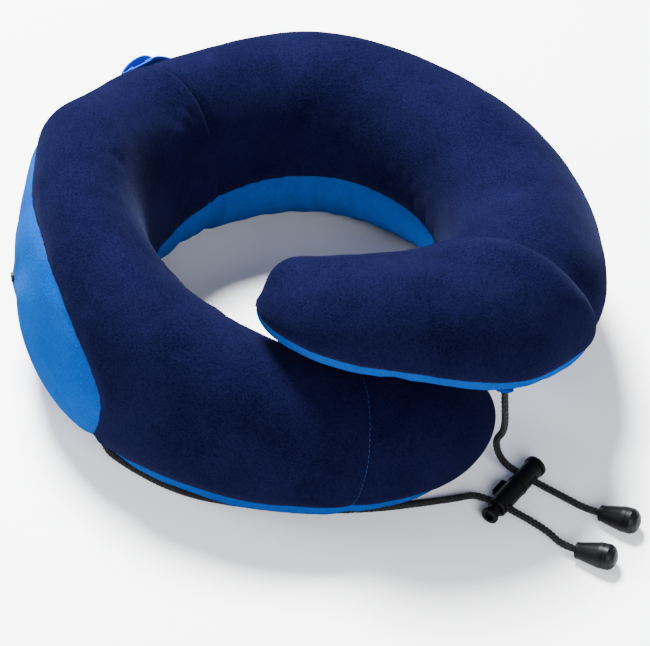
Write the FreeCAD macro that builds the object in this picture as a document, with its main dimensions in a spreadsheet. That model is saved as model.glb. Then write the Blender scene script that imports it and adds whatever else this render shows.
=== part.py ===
import FreeCAD, Part
# Memory-foam neck pillow: a rising ring of foam in a fabric cover, whose two arms overlap
# in front, with a draw cord, a two-hole cord lock, a zip and a hang loop.
#
# Frame: origin at the centre of the neck opening on the surface that the pillow lies on,
# +Y towards the nape, +X towards the side where the ring climbs, +Z up. Millimetres.
# The ring is followed by its station angle, which runs from the low arm's tip (-140)
# through the front (-90), the zip's side (0) and the nape (90) to the raised arm's tip.
import math
import os

from FreeCAD import Rotation, Vector
import Sketcher

doc = FreeCAD.newDocument("neck_pillow")
sheet = doc.addObject("Spreadsheet::Sheet", "Dimensions")

DIMENSIONS = [
    ("cover_thick", 1.0), ("foam_gap", 0.4), ("seam_gap_deg", 0.25),
    ("low_tip_length", 64), ("raised_tip_length", 54), ("tip_end_scale", 0.1),
    ("tilt_deg", 16), ("tilt_at_deg", 185), ("tilt_span_deg", 60), ("floor_trim", 0.4),
    ("tip_seam_deg", -100), ("back_seam_deg", 48), ("arm_split_deg", 180),
    ("side_start_deg", -42), ("side_end_deg", 125),
    ("zip_height", 47), ("zip_radius", 152.6), ("zip_start_deg", -3.5), ("zip_end_deg", 54),
    ("tape_wide", 5), ("tape_thick", 0.7), ("coil_wide", 3.2), ("coil_thick", 1.4),
    ("slider_long", 9), ("slider_wide", 7.5), ("slider_thick", 3.2), ("bridge_tall", 3.2),
    ("pull_long", 20), ("pull_wide", 5), ("pull_thick", 1.2), ("pull_eye_long", 3.7),
    ("loop_deg", 48.5), ("loop_height", 86), ("loop_lean_deg", 29), ("loop_radius", 143.9),
    ("loop_half", 11.5), ("loop_rise", 9.5), ("webbing_wide", 8.5), ("webbing_thick", 1.3),
    ("cord_radius", 1.6), ("exit_radius", 3.4), ("exit_thread_radius", 0.9),
    ("lock_x", 81), ("lock_y", -130.7), ("lock_z", 5.7), ("lock_turn_deg", 53.13),
    ("lock_long", 42), ("lock_mouth", 6.2), ("lock_radius", 5), ("lock_bore", 3.8),
    ("lock_bore_end", 40.7), ("lock_flange_radius", 5.6), ("lock_flange_long", 2.6),
    ("lock_ring_at", 24), ("lock_ring_radius", 5.35), ("lock_ring_long", 0.8),
    ("rib_start", 13.4), ("rib_end", 23), ("rib_reach", 7.4), ("rib_thick", 3.4), ("hole_radius", 2.5),
    ("hole_near", 10), ("hole_far", 32), ("press_travel", 3.2),
    ("plunger_radius", 3.5), ("plunger_long", 34.8), ("plunger_flange_radius", 4.3),
    ("plunger_flange_long", 1.8), ("plunger_recess_radius", 2.5), ("plunger_recess_deep", 1.6),
    ("plunger_neck_radius", 3.1), ("slot_slack", 0.3),
    ("spring_radius", 2.5), ("spring_wire", 0.3), ("spring_turns", 4),
    ("end_long", 14), ("end_small_radius", 4), ("end_big_radius", 6.2), ("end_bore", 1.9),
    ("end_cavity_radius", 4.2), ("end_cavity_from", 6), ("cap_spigot_radius", 4),
    ("cap_spigot_long", 2), ("cap_joint", 0.2), ("knot_radius", 2.6),
]

for line, (alias, value) in enumerate(DIMENSIONS, start=1):
    sheet.set("A%d" % line, alias)
    sheet.set("B%d" % line, str(value))
    sheet.setAlias("B%d" % line, alias)
doc.recompute()


def dim(alias):
    """A driving dimension's value from the sheet."""
    return float(sheet.get(alias))


# ---------------------------------------------------------------- the ring's shape
# Station angle, then radius at the neck side, at the outside and at the crest, height of
# the widest point on the neck side and outside, top and bottom.
STATIONS = [
    (-140, 59, 142, 100, 29, 27, 56, 0),
    (-115, 64, 140, 102, 34, 30, 65, 0),
    (-90, 70, 140, 104, 40, 32, 77, 0),
    (-55, 74, 143, 108, 50, 36, 98, 0),
    (-20, 82, 151, 116, 60, 42, 116, 0),
    (10, 87, 152, 119, 62, 43, 120, 0),
    (40, 84, 152, 118, 57, 42, 110, 0),
    (62, 78, 150, 113, 54, 43, 105, 0),
    (90, 73, 153, 112, 52, 46, 104, 0),
    (120, 67, 147, 107, 50, 46, 97, 0),
    (145, 64, 143, 103, 50, 46, 96, 3),
    (180, 62, 143, 102, 50, 48, 98, 12),
    (225, 61, 146, 102, 80, 78, 115, 53),
    (255, 58, 126, 92, 100, 98, 126, 79),
    (291, 62, 104, 84, 98, 97, 113, 82),
]
FIRST, LAST = STATIONS[0][0], STATIONS[-1][0]
UNDERSIDE_FLATNESS = 2.3

# Height of the outer seam between top and side fabric, then of the neck-side seam.
OUTER_SEAM = [
    (-140, 8), (-125, 9), (-116, 13), (-108, 15.5), (-90, 17), (-60, 18), (-50, 17), (-46.5, 14),
    (-44, 34), (-42, 60), (-34, 82), (-24, 95), (-10, 101), (10, 96), (60, 88), (95, 76), (125, 52),
    (145, 16), (152, 15), (165, 20), (180, 31), (192, 45), (204, 57.5), (216, 66.5), (228, 75),
    (240, 84.5), (252, 93), (264, 96), (280, 97.5), (291, 98),
]
NECK_SEAM = [
    (-140, 10), (-90, 12), (-20, 16), (10, 22), (41, 33), (60, 42), (150, 43), (180, 34),
    (225, 62), (255, 84), (291, 92),
]


def cubic(rows, angle, column):
    """Smooth curve through the rows' column at an angle."""
    span = sum(1 for row in rows[1:-1] if row[0] <= angle)

    def slope(k):
        low, high = max(k - 1, 0), min(k + 1, len(rows) - 1)
        return (rows[high][column] - rows[low][column]) / (rows[high][0] - rows[low][0])

    wide = rows[span + 1][0] - rows[span][0]
    share = (angle - rows[span][0]) / wide
    rise = slope(span) * wide
    run = slope(span + 1) * wide
    step = share * share * (3 - 2 * share)
    return (
        rows[span][column] * (1 - step) + rows[span + 1][column] * step
        + rise * share * (1 - share) ** 2 - run * share ** 2 * (1 - share)
    )


def straight(rows, angle):
    """Height on a broken line through the rows."""
    for (low, start), (high, end) in zip(rows, rows[1:]):
        if angle <= high:
            return start + (end - start) * (angle - low) / (high - low)
    return rows[-1][1]


def station(angle):
    """Section sizes at an angle, closed to a dome near each tip."""
    inner, outer, crest, neck_mid, out_mid, top, bottom = [
        cubic(STATIONS, angle, column) for column in range(1, 8)
    ]
    closing = 1.0
    for tip, length in ((FIRST, dim("low_tip_length")), (LAST, dim("raised_tip_length"))):
        way = abs(math.radians(angle - tip)) * (inner + outer) / 2
        if way < length:
            closing = min(closing, math.sqrt(max(0, 1 - (1 - way / length) ** 2)))
    closing = max(closing, dim("tip_end_scale"))
    middle = (top + bottom) / 2
    heights = [middle + (each - middle) * closing for each in (neck_mid, out_mid, top, bottom)]
    return (
        crest + (inner - crest) * closing, crest + (outer - crest) * closing, crest,
        *heights, middle,
    )


def tilt(angle):
    """Lean of the section plane, largest where the ring climbs."""
    share = abs(angle - dim("tilt_at_deg")) / dim("tilt_span_deg")
    if share >= 1:
        return 0.0
    return math.radians(dim("tilt_deg")) * (0.5 + 0.5 * math.cos(math.pi * share))


def ring_point(angle, turn, inset):
    """A point on the section: turn 0 is outermost, 90 the crest, 180 the neck side."""
    inner, outer, crest, neck_mid, out_mid, top, bottom, middle = station(angle)
    across, up = math.cos(turn), math.sin(turn)
    centre = out_mid if across >= 0 else neck_mid
    reach = (outer - crest if across >= 0 else crest - inner) - inset
    rise = (top - centre if up >= 0 else centre - bottom) - inset
    power = 1.0 if up >= 0 else 2.0 / UNDERSIDE_FLATNESS
    radius = crest + reach * math.copysign(abs(across) ** power, across)
    height = centre + rise * math.copysign(abs(up) ** power, up) - dim("floor_trim")
    bearing = math.radians(180 - angle)
    lean = (height - middle) * math.tan(tilt(angle))
    return Vector(
        radius * math.cos(bearing) - lean * math.sin(bearing),
        radius * math.sin(bearing) + lean * math.cos(bearing),
        height,
    )


def seam_turn(angle, height, outside):
    """The turn at which the section passes a height, outside or on the neck side."""
    neck_mid, out_mid, top, bottom = station(angle)[3:7]
    centre = out_mid if outside else neck_mid
    height += dim("floor_trim")
    share = (height - centre) / (top - centre if height >= centre else centre - bottom)
    share = max(-0.97, min(0.97, share))
    if share < 0:
        share = -abs(share) ** (UNDERSIDE_FLATNESS / 2.0)
    turn = math.asin(share)
    return turn if outside else math.pi - turn


def top_span(angle):
    """From the outer seam over the crest to the neck-side seam."""
    return (
        seam_turn(angle, straight(OUTER_SEAM, angle), True),
        seam_turn(angle, straight(NECK_SEAM, angle), False),
    )


def side_span(angle):
    """From the zip's seam up to the outer seam."""
    return (
        seam_turn(angle, dim("zip_height"), True),
        seam_turn(angle, max(straight(OUTER_SEAM, angle), dim("zip_height") + 3), True),
    )


def underside_span(angle):
    """From the neck-side seam under the foam to the outer or the zip's seam."""
    height = straight(OUTER_SEAM, angle)
    if angle < dim("side_end_deg"):
        height = min(height, dim("zip_height"))
    return (
        seam_turn(angle, straight(NECK_SEAM, angle), False),
        seam_turn(angle, height, True) + 2 * math.pi,
    )


POINTS_ACROSS = 13
SEAM_TURN_GAP = 0.004
GROUND_SIDE = 400


def curve(points):
    """A smooth curve through evenly numbered points."""
    spline = Part.BSplineCurve()
    spline.interpolate(Points=points, Parameters=[k / (len(points) - 1) for k in range(len(points))])
    return spline.toShape()


def panel_wire(angle, span):
    """The closed outline of one fabric panel's section."""
    low, high = span(angle)
    low, high = low + SEAM_TURN_GAP, high - SEAM_TURN_GAP
    turns = [low + (high - low) * k / (POINTS_ACROSS - 1) for k in range(POINTS_ACROSS)]
    outside = [ring_point(angle, turn, 0) for turn in turns]
    inside = [ring_point(angle, turn, dim("cover_thick")) for turn in turns]
    return Part.Wire([
        curve(outside),
        Part.LineSegment(outside[-1], inside[-1]).toShape(),
        curve(inside[::-1]),
        Part.LineSegment(inside[0], outside[0]).toShape(),
    ])


def foam_wire(angle):
    """The closed outline of the foam's section, inside the cover."""
    inset = dim("cover_thick") + dim("foam_gap")
    quarter = math.pi / 2
    edges = []
    for start in range(4):
        turns = [quarter * (start + k / 6) for k in range(7)]
        edges.append(curve([ring_point(angle, turn, inset) for turn in turns]))
    return Part.Wire(edges)


TIP_STEPS = (0, 0.6, 1.8, 3.6, 6)
EVEN_STEP = 5
CLOSE_STATIONS = [-46.5 + 0.5 * k for k in range(10)] + [120 + 2.5 * k for k in range(15)]


def angles_between(start, end):
    """Station angles for a loft: every five degrees, and closer at a tip or a steep seam."""
    angles = {start, end}
    for tip, toward in ((FIRST, 1), (LAST, -1)):
        angles |= {tip + toward * step for step in TIP_STEPS if start < tip + toward * step < end}
    evens = range(int(FIRST), int(LAST), EVEN_STEP)
    angles |= {a for a in evens if min(a - FIRST, LAST - a) > TIP_STEPS[-1]} | set(CLOSE_STATIONS)
    return sorted(a for a in angles if a in (start, end) or start + 0.2 < a < end - 0.2)


def keep(label, shape, position=None, rotation=None):
    """A sub-part whose shape is set here, with its Placement."""
    part = doc.addObject("Part::Feature", label)
    part.Label = label
    part.Shape = shape
    part.Placement = FreeCAD.Placement(position or Vector(), rotation or Rotation())
    return part


def lofted(label, start, end, outline):
    """A foam block or fabric panel between two station angles, flat where it rests."""
    gap = dim("seam_gap_deg")
    first = start if start == FIRST else start + gap
    last = end if end == LAST else end - gap
    sections = [outline(angle) for angle in angles_between(first, last)]
    solid = Part.makeLoft(sections, True, True)
    if solid.BoundBox.ZMin < 0:
        below = Part.makeBox(GROUND_SIDE, GROUND_SIDE, 20, Vector(-GROUND_SIDE / 2, -GROUND_SIDE / 2, -20))
        solid = solid.cut(below).Solids[0]
    return keep(label, solid)


def panel(label, start, end, span):
    return lofted(label, start, end, lambda angle: panel_wire(angle, span))


split = dim("arm_split_deg")
lofted("foam_core", FIRST, split, foam_wire)
lofted("foam_raised_arm", split, LAST, foam_wire)
panel("cover_low_tip", FIRST, dim("tip_seam_deg"), top_span)
panel("cover_front", dim("tip_seam_deg"), dim("back_seam_deg"), top_span)
panel("cover_back", dim("back_seam_deg"), split, top_span)
panel("cover_raised_arm", split, LAST, top_span)
panel("panel_side", dim("side_start_deg"), dim("side_end_deg"), side_span)
panel("panel_underside", FIRST, split, underside_span)
panel("panel_raised_underside", split, LAST, underside_span)


# ---------------------------------------------------------------- sketches and bodies
def bind(thing, property_name, expression):
    """Bind a property to sheet cells, named without the sheet in the expression."""
    words = expression
    for alias, _ in sorted(DIMENSIONS, key=lambda row: -len(row[0])):
        words = words.replace("@" + alias, "Dimensions." + alias)
    thing.setExpression(property_name, words)


def new_body(label):
    part = doc.addObject("PartDesign::Body", label)
    part.Label = label
    return part


def place(part, x, y, z, rotation):
    part.Placement = FreeCAD.Placement(Vector(x, y, z), rotation)


def new_sketch(body, name, role):
    """A sketch on one of the body's own origin planes."""
    plane = next(f for f in body.Origin.OriginFeatures if f.Role == role)
    sketch = body.newObject("Sketcher::SketchObject", name)
    sketch.AttachmentSupport = [(plane, "")]
    sketch.MapMode = "FlatFace"
    return sketch


def evaluate(expression):
    """The number that an expression of @aliases gives now."""
    words = expression
    for alias, _ in sorted(DIMENSIONS, key=lambda row: -len(row[0])):
        words = words.replace("@" + alias, repr(dim(alias)))
    total = 0.0
    for term in words.replace(" - ", " + -1 * ").split(" + "):
        factor = 1.0
        for part in term.split(" * "):
            factor *= float(part)
        total += factor
    return total


def draw_outline(sketch, corners):
    """A closed outline of straight sides, each corner bound to (across, up) expressions."""
    spots = [Vector(evaluate(x), evaluate(y), 0) for x, y in corners]
    count, first = len(spots), len(sketch.Geometry)
    for k in range(count):
        sketch.addGeometry(Part.LineSegment(spots[k], spots[(k + 1) % count]))
    for k in range(count):
        following = first + (k + 1) % count
        sketch.addConstraint(Sketcher.Constraint("Coincident", first + k, 2, following, 1))
    for k, (x, y) in enumerate(corners):
        for kind, words, value in (("DistanceX", x, spots[k].x), ("DistanceY", y, spots[k].y)):
            row = sketch.addConstraint(Sketcher.Constraint(kind, -1, 1, first + k, 1, value))
            if "@" in words:
                bind(sketch, "Constraints[%d]" % row, words)


def draw_circle(sketch, x, y, radius):
    """A circle whose centre and radius are bound to expressions."""
    number = sketch.addGeometry(
        Part.Circle(Vector(evaluate(x), evaluate(y), 0), Vector(0, 0, 1), evaluate(radius))
    )
    for kind, words in (("DistanceX", x), ("DistanceY", y)):
        row = sketch.addConstraint(Sketcher.Constraint(kind, -1, 1, number, 3, evaluate(words)))
        if "@" in words:
            bind(sketch, "Constraints[%d]" % row, words)
    row = sketch.addConstraint(Sketcher.Constraint("Radius", number, evaluate(radius)))
    bind(sketch, "Constraints[%d]" % row, radius)


def revolve(body, name, corners):
    """Turn an outline of (along, radius) corners round the body's X axis."""
    sketch = new_sketch(body, name + "Profile", "XY_Plane")
    draw_outline(sketch, corners)
    turned = body.newObject("PartDesign::Revolution", name)
    turned.Profile = sketch
    turned.ReferenceAxis = (sketch, ["H_Axis"])
    turned.Angle = 360
    doc.recompute()
    return turned


def cut_through(body, name, sketch):
    """Pocket a sketch both ways through the body, and make sure that it cuts."""
    doc.recompute()
    before = body.Shape.Volume
    pocket = body.newObject("PartDesign::Pocket", name)
    pocket.Profile = sketch
    pocket.Type = "ThroughAll"
    pocket.Midplane = True
    doc.recompute()
    if body.Shape.Volume >= before - 1e-6:
        raise RuntimeError(name + " cuts nothing")
    return pocket


def pad(body, name, sketch, length):
    """Pad a sketch evenly to both sides of its plane."""
    raised = body.newObject("PartDesign::Pad", name)
    raised.Profile = sketch
    raised.Midplane = True
    bind(raised, "Length", length)
    doc.recompute()
    return raised


# ---------------------------------------------------------------- the zip
def around(deg):
    """Turn about +Z of something that faces outwards at a station angle."""
    return Rotation(Vector(0, 0, 1), 180 - deg)


def arc_band(label, lift, thick, bottom, tall, first_deg, sweep_deg):
    """A band bent round the zip's circle, from one station angle over a sweep."""
    cylinders = []
    for name, radius, margin in (("Outer", lift + " + " + thick, 0), ("Inner", lift, 1)):
        cylinder = doc.addObject("Part::Cylinder", label + name)
        bind(cylinder, "Radius", "@zip_radius + " + radius)
        bind(cylinder, "Height", "%s + %d" % (tall, 2 * margin))
        bind(cylinder, "Angle", "%s + %d" % (sweep_deg, 2 * margin))
        last = evaluate(first_deg) + evaluate(sweep_deg) + margin
        place(cylinder, 0, 0, evaluate(bottom) - margin, around(last))
        cylinders.append(cylinder)
    doc.recompute()
    band = doc.addObject("Part::Cut", label)
    band.Label = label
    band.Base, band.Tool = cylinders
    doc.recompute()


SWEEP = "@zip_end_deg - @zip_start_deg"
ON_TAPE = "@tape_thick + 0.05"
arc_band("zip_tape_upper", "0", "@tape_thick", "@zip_height + 0.2", "@tape_wide", "@zip_start_deg", SWEEP)
arc_band(
    "zip_tape_lower", "0", "@tape_thick", "@zip_height - @tape_wide - 0.2", "@tape_wide",
    "@zip_start_deg", SWEEP,
)
arc_band(
    "zip_coil", ON_TAPE, "@coil_thick", "@zip_height - 0.5 * @coil_wide", "@coil_wide",
    "@zip_start_deg + 1.5", SWEEP + " - 3",
)
for stop, from_deg in (("zip_stop_front", "@zip_start_deg + 0.4"), ("zip_stop_back", "@zip_end_deg - 1.3")):
    arc_band(
        stop, ON_TAPE, "@coil_thick + 0.5", "@zip_height - 0.75 * @coil_wide", "1.5 * @coil_wide",
        from_deg, "0.9",
    )


def zip_slider():
    """Wedge-shaped slider: its X is outwards, its Y along the zip, its Z up the tape."""
    body = new_body("zip_slider")
    outline = new_sketch(body, "SliderOutline", "YZ_Plane")
    draw_outline(outline, [
        ("-0.5 * @slider_long", "-0.36 * @slider_wide"), ("0.5 * @slider_long", "-0.5 * @slider_wide"),
        ("0.5 * @slider_long", "0.5 * @slider_wide"), ("-0.5 * @slider_long", "0.36 * @slider_wide"),
    ])
    pad(body, "SliderPlate", outline, "@slider_thick")
    channel = new_sketch(body, "SliderChannel", "XZ_Plane")
    back = "-0.5 * @slider_thick - 1"
    floor = "-0.5 * @slider_thick + @coil_thick + 0.1"
    draw_outline(channel, [
        (back, "-0.5 * @coil_wide - 0.35"), (floor, "-0.5 * @coil_wide - 0.35"),
        (floor, "0.5 * @coil_wide + 0.35"), (back, "0.5 * @coil_wide + 0.35"),
    ])
    cut_through(body, "SliderCoilPath", channel)
    bridge = new_sketch(body, "SliderBridge", "XY_Plane")
    foot, crown = "0.3 * @slider_thick", "0.5 * @slider_thick + @bridge_tall"
    draw_outline(bridge, [
        (foot, "-0.4 * @slider_long"), (crown, "-0.28 * @slider_long"),
        (crown, "0.28 * @slider_long"), (foot, "0.4 * @slider_long"),
        (foot, "0.18 * @slider_long"), (crown + " - 0.9", "0.16 * @slider_long"),
        (crown + " - 0.9", "-0.16 * @slider_long"), (foot, "-0.18 * @slider_long"),
    ])
    pad(body, "SliderBridgePad", bridge, "0.26 * @slider_wide")
    return body


def zip_pull():
    """Flat tab hung by its bar: X outwards, Y along the zip, Z up the tape."""
    body = new_body("zip_pull")
    tab = new_sketch(body, "PullOutline", "YZ_Plane")
    tip = "@pull_long - 1.8"
    draw_outline(tab, [
        ("-0.5", "-0.4 * @pull_wide"), ("0.6", "-0.5 * @pull_wide"), (tip, "-0.5 * @pull_wide"),
        ("@pull_long", "-0.2 * @pull_wide"), ("@pull_long", "0.2 * @pull_wide"),
        (tip, "0.5 * @pull_wide"), ("0.6", "0.5 * @pull_wide"), ("-0.5", "0.4 * @pull_wide"),
    ])
    pad(body, "PullPlate", tab, "@pull_thick")
    eye = new_sketch(body, "PullEye", "YZ_Plane")
    draw_outline(eye, [
        ("0.5", "-0.28 * @pull_wide"), ("0.5 + @pull_eye_long", "-0.28 * @pull_wide"),
        ("0.5 + @pull_eye_long", "0.28 * @pull_wide"), ("0.5", "0.28 * @pull_wide"),
    ])
    cut_through(body, "PullEyeCut", eye)
    return body


slider_turn = around(dim("zip_end_deg") - 3.6)
slider_reach = dim("zip_radius") + dim("tape_thick") + 0.4 + 0.5 * dim("slider_thick")
slider_spot = slider_turn.multVec(Vector(slider_reach, 0, dim("zip_height")))
place(zip_slider(), *slider_spot, slider_turn)
pull_lift = 0.5 * dim("slider_thick") + 0.5 * (dim("bridge_tall") - 0.9)
place(zip_pull(), *(slider_spot + slider_turn.multVec(Vector(pull_lift, 0, 0))), slider_turn)


# ---------------------------------------------------------------- the hang loop
def hang_loop():
    """Closed loop of webbing: X away from the wall, Y along it, Z across the webbing."""
    body = new_body("hang_loop")
    ring = new_sketch(body, "LoopOutline", "XY_Plane")
    lens = ((0, 1), (0.16, 1), (0.62, 0.68), (0.92, 0.34), (1, 0))
    half = [("%g * @loop_rise" % x, "%g * @loop_half" % y) for x, y in lens]
    mirrored = [("%g * @loop_rise" % x, "%g * @loop_half" % -y) for x, y in lens[-2::-1]]
    draw_outline(ring, half + mirrored)
    pad(body, "LoopBand", ring, "@webbing_wide")
    gap = new_sketch(body, "LoopGap", "XY_Plane")
    lens = ((0, 0.84), (0.1, 0.84), (0.46, 0.58), (0.72, 0.28), (0.78, 0))
    half = [("%g * @loop_rise + @webbing_thick" % x, "%g * @loop_half" % y) for x, y in lens]
    mirrored = [
        ("%g * @loop_rise + @webbing_thick" % x, "%g * @loop_half" % -y) for x, y in lens[-2::-1]
    ]
    draw_outline(gap, half + mirrored)
    cut_through(body, "LoopOpening", gap)
    return body


loop_turn = around(dim("loop_deg")) * Rotation(Vector(0, 1, 0), -dim("loop_lean_deg"))
loop_spot = around(dim("loop_deg")).multVec(Vector(dim("loop_radius"), 0, dim("loop_height")))
place(hang_loop(), *loop_spot, loop_turn)


# ---------------------------------------------------------------- cords and their exits
def face_normal(angle, turn):
    """Outward normal of the cover at a station angle and turn."""
    along = ring_point(angle + 0.5, turn, 0) - ring_point(angle - 0.5, turn, 0)
    across = ring_point(angle, turn + 0.01, 0) - ring_point(angle, turn - 0.01, 0)
    return across.cross(along).normalize()


def exit_spot(angle, height, lift):
    """A point at a lift above the cover, outside at a height, and the normal there."""
    turn = seam_turn(angle, height, True)
    normal = face_normal(angle, turn)
    return ring_point(angle, turn, 0) + normal * lift, normal


def stitched_exit(label, angle, height):
    """Ring of thread round the hole where a cord leaves the cover."""
    spot, normal = exit_spot(angle, height, dim("exit_thread_radius") + 0.45)
    ring = doc.addObject("Part::Torus", label)
    ring.Label = label
    bind(ring, "Radius1", "@exit_radius")
    bind(ring, "Radius2", "@exit_thread_radius")
    place(ring, *spot, Rotation(Vector(0, 0, 1), normal))


def cord(label, points):
    """A round cord: straight runs between the points, joined by tangent arcs."""
    ways = [(b - a) for a, b in zip(points, points[1:])]
    edges, at, smallest = [], points[0], 1e9
    for k, corner in enumerate(points[1:-1]):
        into, out = Vector(ways[k]).normalize(), Vector(ways[k + 1]).normalize()
        reach = 0.45 * min(ways[k].Length, ways[k + 1].Length)
        half = into.getAngle(out) / 2
        smallest = min(smallest, reach / math.tan(half))
        start, end = corner - into * reach, corner + out * reach
        bend = (out - into).normalize()
        radius = reach / math.tan(half)
        centre = corner + bend * (radius / math.cos(half))
        middle = centre - bend * radius
        edges.append(Part.LineSegment(at, start).toShape())
        edges.append(Part.Arc(start, middle, end).toShape())
        at = end
    edges.append(Part.LineSegment(at, points[-1]).toShape())
    path = Part.Wire(edges)
    section = Part.Wire([Part.Circle(points[0], ways[0], dim("cord_radius")).toShape()])
    tube = path.makePipeShell([section], True, False)
    share = tube.Volume / (path.Length * math.pi * dim("cord_radius") ** 2)
    print("%s: length %.1f, smallest radius %.1f, volume share %.4f" % (label, path.Length, smallest, share))
    return keep(label, tube)


RIGHT_EXIT = (227, 59)
stitched_exit("cord_exit", *RIGHT_EXIT)

LEFT_ROUTE = [
    (-106.6, -78.9, 4.7), (-104.2, -85, 2.6), (-98.2, -90, 1.9), (-87.3, -98.8, 1.9),
    (-74.7, -107.2, 1.9), (-60, -114, 1.9), (-42, -118.4, 1.9), (-22, -121.6, 1.9),
    (0, -123.4, 1.9), (18, -122.9, 1.9), (34, -121.3, 1.9), (50, -118.6, 1.9),
    (66, -116.3, 2.6), (77.8, -115.8, 5.7), (107.8, -138.3, 5.7), (115.4, -148, 3.6),
]
RIGHT_ROUTE = [
    (87.7, -96.7, 58.5), (87.9, -101.4, 50.8), (88.6, -103, 41.5), (87.8, -101.4, 32.5),
    (85.7, -96, 23.5), (86.3, -94.7, 14.6), (88.9, -96.6, 9), (93.4, -100, 5.7),
    (121, -120.7, 5.7), (128.9, -124.4, 3.6),
]


# ---------------------------------------------------------------- the cord lock
LOCK_TURN = Rotation(Vector(0, 0, 1), dim("lock_turn_deg"))
LOCK_SPOT = (dim("lock_x"), dim("lock_y"), dim("lock_z"))


def lock_barrel():
    """Barrel along X with a closed far end, two cord holes across it and a side rib."""
    body = new_body("lock_barrel")
    flange = "@lock_long - @lock_flange_long"
    ring_end = "@lock_ring_at + @lock_ring_long"
    revolve(body, "BarrelTurned", [
        ("@lock_mouth", "@lock_bore"), ("@lock_mouth", "@lock_radius - 0.6"),
        ("@lock_mouth + 0.6", "@lock_radius"), ("@lock_ring_at", "@lock_radius"),
        ("@lock_ring_at", "@lock_ring_radius"), (ring_end, "@lock_ring_radius"),
        (ring_end, "@lock_radius"), (flange, "@lock_radius"), (flange, "@lock_flange_radius"),
        ("@lock_long - 0.7", "@lock_flange_radius"), ("@lock_long", "@lock_flange_radius - 0.7"),
        ("@lock_long", "0"), ("@lock_bore_end", "0"), ("@lock_bore_end", "@lock_bore"),
    ])
    rib = new_sketch(body, "BarrelRib", "XY_Plane")
    draw_outline(rib, [
        ("@rib_start", "@lock_radius - 0.5"), ("@rib_end", "@lock_radius - 0.5"),
        ("@rib_end - 0.8", "@rib_reach"), ("@rib_start + 0.8", "@rib_reach"),
    ])
    pad(body, "BarrelRibPad", rib, "@rib_thick")
    holes = new_sketch(body, "BarrelHoles", "XZ_Plane")
    draw_circle(holes, "@hole_near", "0", "@hole_radius")
    draw_circle(holes, "@hole_far", "0", "@hole_radius")
    cut_through(body, "BarrelCordHoles", holes)
    return body


def lock_plunger():
    """Plunger along X with a dished thumb face and a slot for each cord."""
    body = new_body("lock_plunger")
    revolve(body, "PlungerTurned", [
        ("0", "@plunger_recess_radius"), ("0", "@plunger_flange_radius - 0.3"),
        ("0.3", "@plunger_flange_radius"), ("@plunger_flange_long", "@plunger_flange_radius"),
        ("@plunger_flange_long + 0.4", "@plunger_neck_radius"),
        ("@plunger_flange_long + 1.4", "@plunger_neck_radius"),
        ("@plunger_flange_long + 1.6", "@plunger_radius"), ("@plunger_long", "@plunger_radius"),
        ("@plunger_long", "0"), ("@plunger_recess_deep", "0"),
        ("@plunger_recess_deep", "@plunger_recess_radius"),
    ])
    slots = new_sketch(body, "PlungerSlots", "XZ_Plane")
    room = "@cord_radius + @slot_slack"
    for hole in ("@hole_near", "@hole_far"):
        start, end = hole + " - @press_travel - @cord_radius - @slot_slack", hole + " + " + room
        low = "-1 * @cord_radius - @slot_slack"
        draw_outline(slots, [(start, low), (end, low), (end, room), (start, room)])
    cut_through(body, "PlungerCordSlots", slots)
    return body


place(lock_barrel(), *LOCK_SPOT, LOCK_TURN)
place(lock_plunger(), *LOCK_SPOT, LOCK_TURN)


def lock_spring():
    """Coil spring between the plunger and the barrel's closed end."""
    start = dim("plunger_long") + dim("spring_wire") + 0.25
    reach = dim("lock_bore_end") - dim("spring_wire") - 0.25 - start
    coil = Part.makeHelix(reach / dim("spring_turns"), reach, dim("spring_radius"))
    first = coil.Vertexes[0].Point
    section = Part.Wire([Part.Circle(first, Vector(0, 1, 0), dim("spring_wire")).toShape()])
    wire = Part.Wire(coil.Edges).makePipeShell([section], True, True)
    along = LOCK_TURN * Rotation(Vector(0, 1, 0), 90)
    spot = Vector(*LOCK_SPOT) + LOCK_TURN.multVec(Vector(start, 0, 0))
    keep("lock_spring", wire, spot, along)


lock_spring()


# ---------------------------------------------------------------- cord ends
def end_cone(label):
    """Cone that the cord enters at its small end; X runs to the capped end."""
    body = new_body(label)
    revolve(body, label + "Turned", [
        ("0", "@end_bore"), ("0", "@end_small_radius - 0.5"), ("0.5", "@end_small_radius"),
        ("1.6", "@end_small_radius"), ("@end_long - 2", "@end_big_radius"),
        ("@end_long", "@end_big_radius"), ("@end_long", "@end_cavity_radius"),
        ("@end_cavity_from", "@end_cavity_radius - 0.9"), ("@end_cavity_from", "@end_bore"),
    ])
    return body


def end_cap(label):
    """Rounded cap on the cone's big end, held by a spigot inside it."""
    body = new_body(label)
    face = "@end_long + @cap_joint"
    revolve(body, label + "Turned", [
        ("@end_long - @cap_spigot_long", "0"),
        ("@end_long - @cap_spigot_long", "@cap_spigot_radius - 0.2"),
        (face, "@cap_spigot_radius - 0.2"), (face, "@end_big_radius"),
        (face + " + 2.4", "@end_big_radius"), (face + " + 4.1", "0.86 * @end_big_radius"),
        (face + " + 5.4", "0.6 * @end_big_radius"), (face + " + 6.1", "0.26 * @end_big_radius"),
        (face + " + 6.2", "0"),
    ])
    return body


def end_knot(label, spot, turn):
    """The cord's knot inside the cone, with the short stub that the cord runs into."""
    ball = doc.addObject("Part::Sphere", label + "Ball")
    bind(ball, "Radius", "@knot_radius")
    place(ball, *(spot + turn.multVec(Vector(KNOT_FACE + 2.3, 0, 0))), turn)
    stub = doc.addObject("Part::Cylinder", label + "Stub")
    bind(stub, "Radius", "@cord_radius")
    stub.Height = 2.3
    place(stub, *(spot + turn.multVec(Vector(KNOT_FACE, 0, 0))), turn * Rotation(Vector(0, 1, 0), 90))
    knot = doc.addObject("Part::MultiFuse", label)
    knot.Label = label
    knot.Shapes = [ball, stub]


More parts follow.
